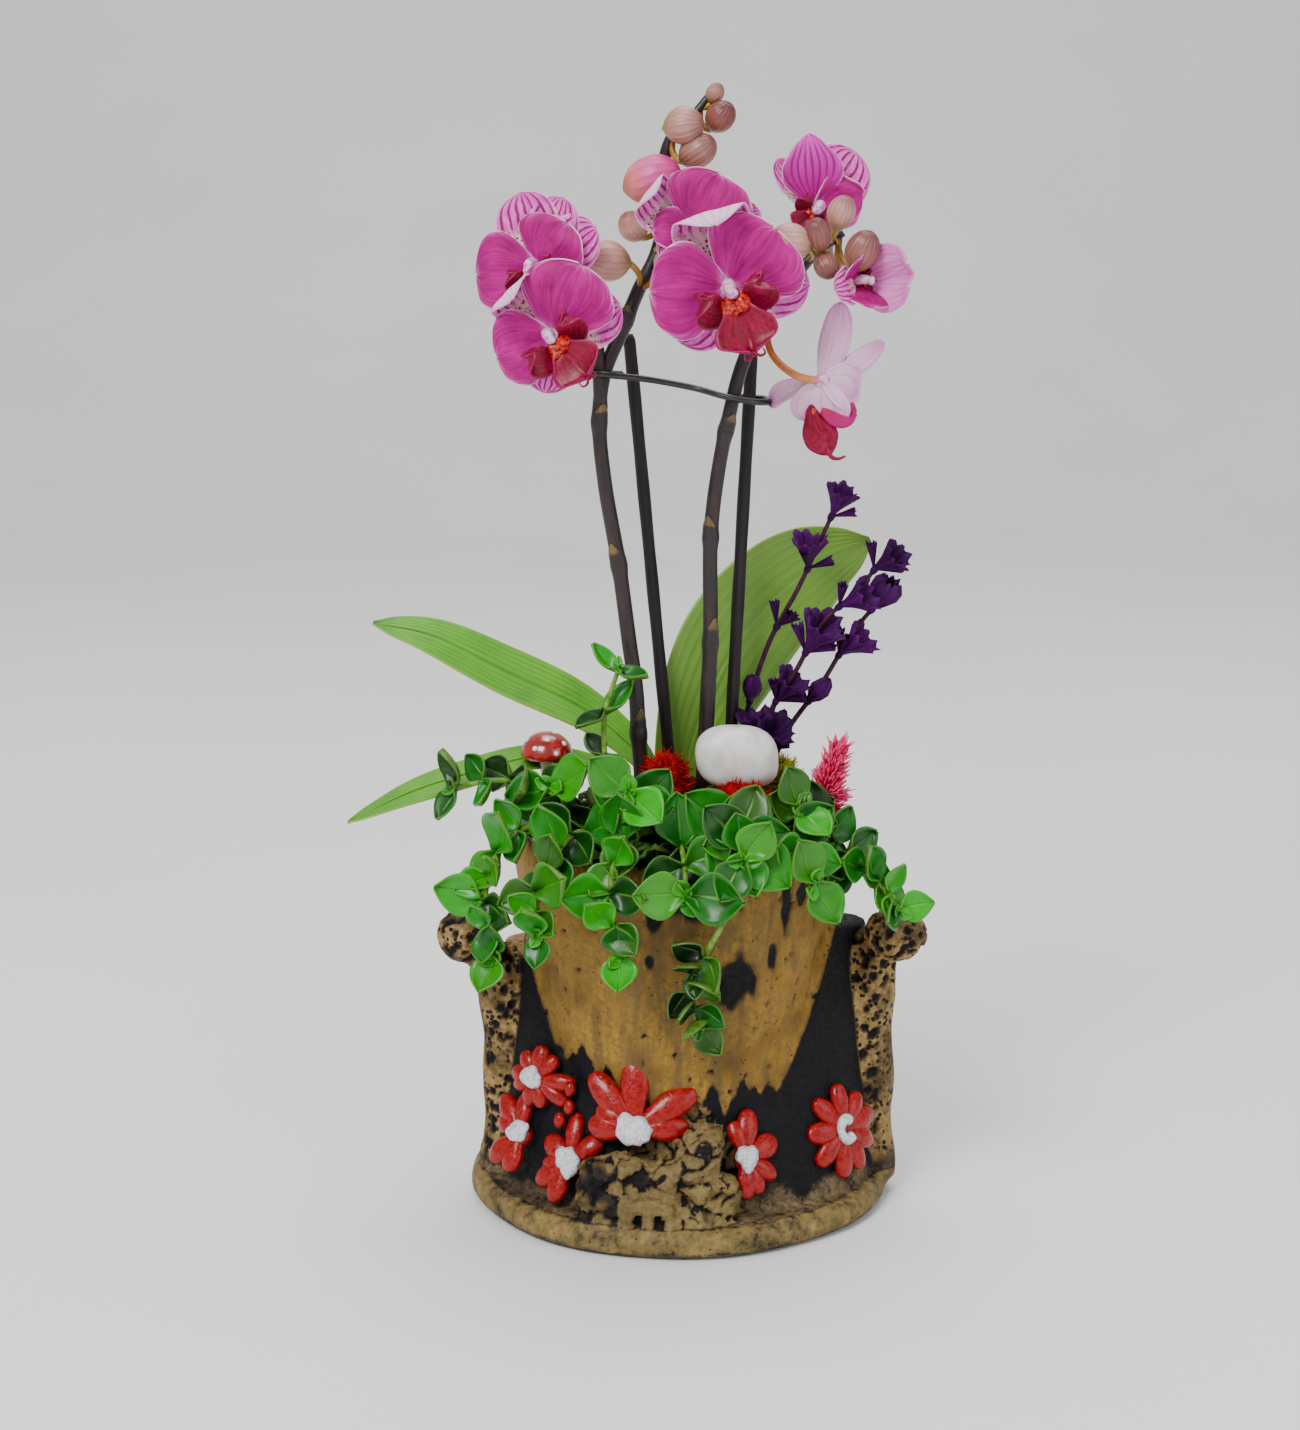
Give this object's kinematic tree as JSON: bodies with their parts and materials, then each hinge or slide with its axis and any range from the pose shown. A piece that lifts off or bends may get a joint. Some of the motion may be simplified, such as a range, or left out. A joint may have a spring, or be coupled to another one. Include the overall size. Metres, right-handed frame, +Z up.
{
  "type": "moth orchid in basket",
  "caption": "Potted moth orchid with magenta blooms on two staked spikes, underplanted with a creeping plant and dried ornaments in a cast tree-stump planter.",
  "frame": {"origin": "centre of the base plate's flat underside", "axes": "+Z up along the plant, front of the planter towards -Y, +X to the right seen from the front"},
  "size_m": [0.1723, 0.1264, 0.3318],
  "materials": {
    "cast": "painted cast body, ochre bark with near-black recesses",
    "red_paint": "gloss red paint over cast relief",
    "silver_paint": "silver-white paint over cast relief",
    "spike": "dark brown-purple stem with tan sheaths and dusty pink buds",
    "tepal": "magenta petal with pale edge",
    "lip": "crimson waxy lip",
    "pale_tepal": "pale pink petal back",
    "stake": "dark stained support stake",
    "wire": "black coated wire",
    "strap_leaf": "leathery green leaf",
    "pebble": "polished white stone",
    "toadstool_stalk": "off-white stalk",
    "toadstool_red": "gloss red cap with pale dots",
    "red_moss": "dyed red preserved moss",
    "yellow_moss": "yellow-green preserved moss",
    "pink_dried": "dried pink plume",
    "violet_dried": "dried dark-violet florets",
    "creeper_leaf": "fleshy green leaf with paler edge",
    "dark_creeper_leaf": "olive-green leaf",
    "soil": "coarse dark potting mix"
  },
  "bodies": {
    "root": {"planter": "cast", "relief_flower_1": "red_paint", "flower_centre_1": "silver_paint", "relief_flower_2": "red_paint", "flower_centre_2": "silver_paint", "relief_flower_3": "red_paint", "flower_centre_3": "silver_paint", "relief_flower_4": "red_paint", "flower_centre_4": "silver_paint", "relief_flower_5": "red_paint", "flower_centre_5": "silver_paint", "relief_flower_6": "red_paint", "flower_centre_6": "silver_paint", "spike_left": "spike", "spike_right": "spike", "bloom_upper_left": "tepal", "lip_upper_left": "lip", "bloom_lower_left": "tepal", "lip_lower_left": "lip", "bloom_middle": "tepal", "lip_middle": "lip", "bloom_back": "tepal", "lip_back": "lip", "bloom_upper_right": "tepal", "lip_upper_right": "lip", "bloom_right_cup": "tepal", "lip_right_cup": "lip", "bloom_hanging": "pale_tepal", "lip_hanging": "lip", "stake_left": "stake", "stake_right": "stake", "stake_clip": "wire", "leaf_right": "strap_leaf", "leaf_left": "strap_leaf", "leaf_low_left": "strap_leaf", "pebble": "pebble", "toadstool_stalk": "toadstool_stalk", "toadstool_cap": "toadstool_red", "red_moss_front": "red_moss", "red_moss_middle": "red_moss", "red_moss_right": "red_moss", "yellow_moss": "yellow_moss", "pink_plume": "pink_dried", "violet_sprig_a": "violet_dried", "violet_sprig_b": "violet_dried", "violet_sprig_c": "violet_dried", "creeper_upright": "creeper_leaf", "creeper_left_high": "dark_creeper_leaf", "creeper_left_low": "creeper_leaf", "creeper_left_front": "creeper_leaf", "creeper_left_cushion": "creeper_leaf", "creeper_middle_drop": "creeper_leaf", "creeper_middle_high": "creeper_leaf", "creeper_front_rosette": "creeper_leaf", "creeper_front_lower": "creeper_leaf", "creeper_right_front": "creeper_leaf", "creeper_right_drop": "creeper_leaf", "creeper_right_high": "creeper_leaf", "creeper_hanging": "dark_creeper_leaf", "potting_mix": "soil"}
  },
  "joints": []
}
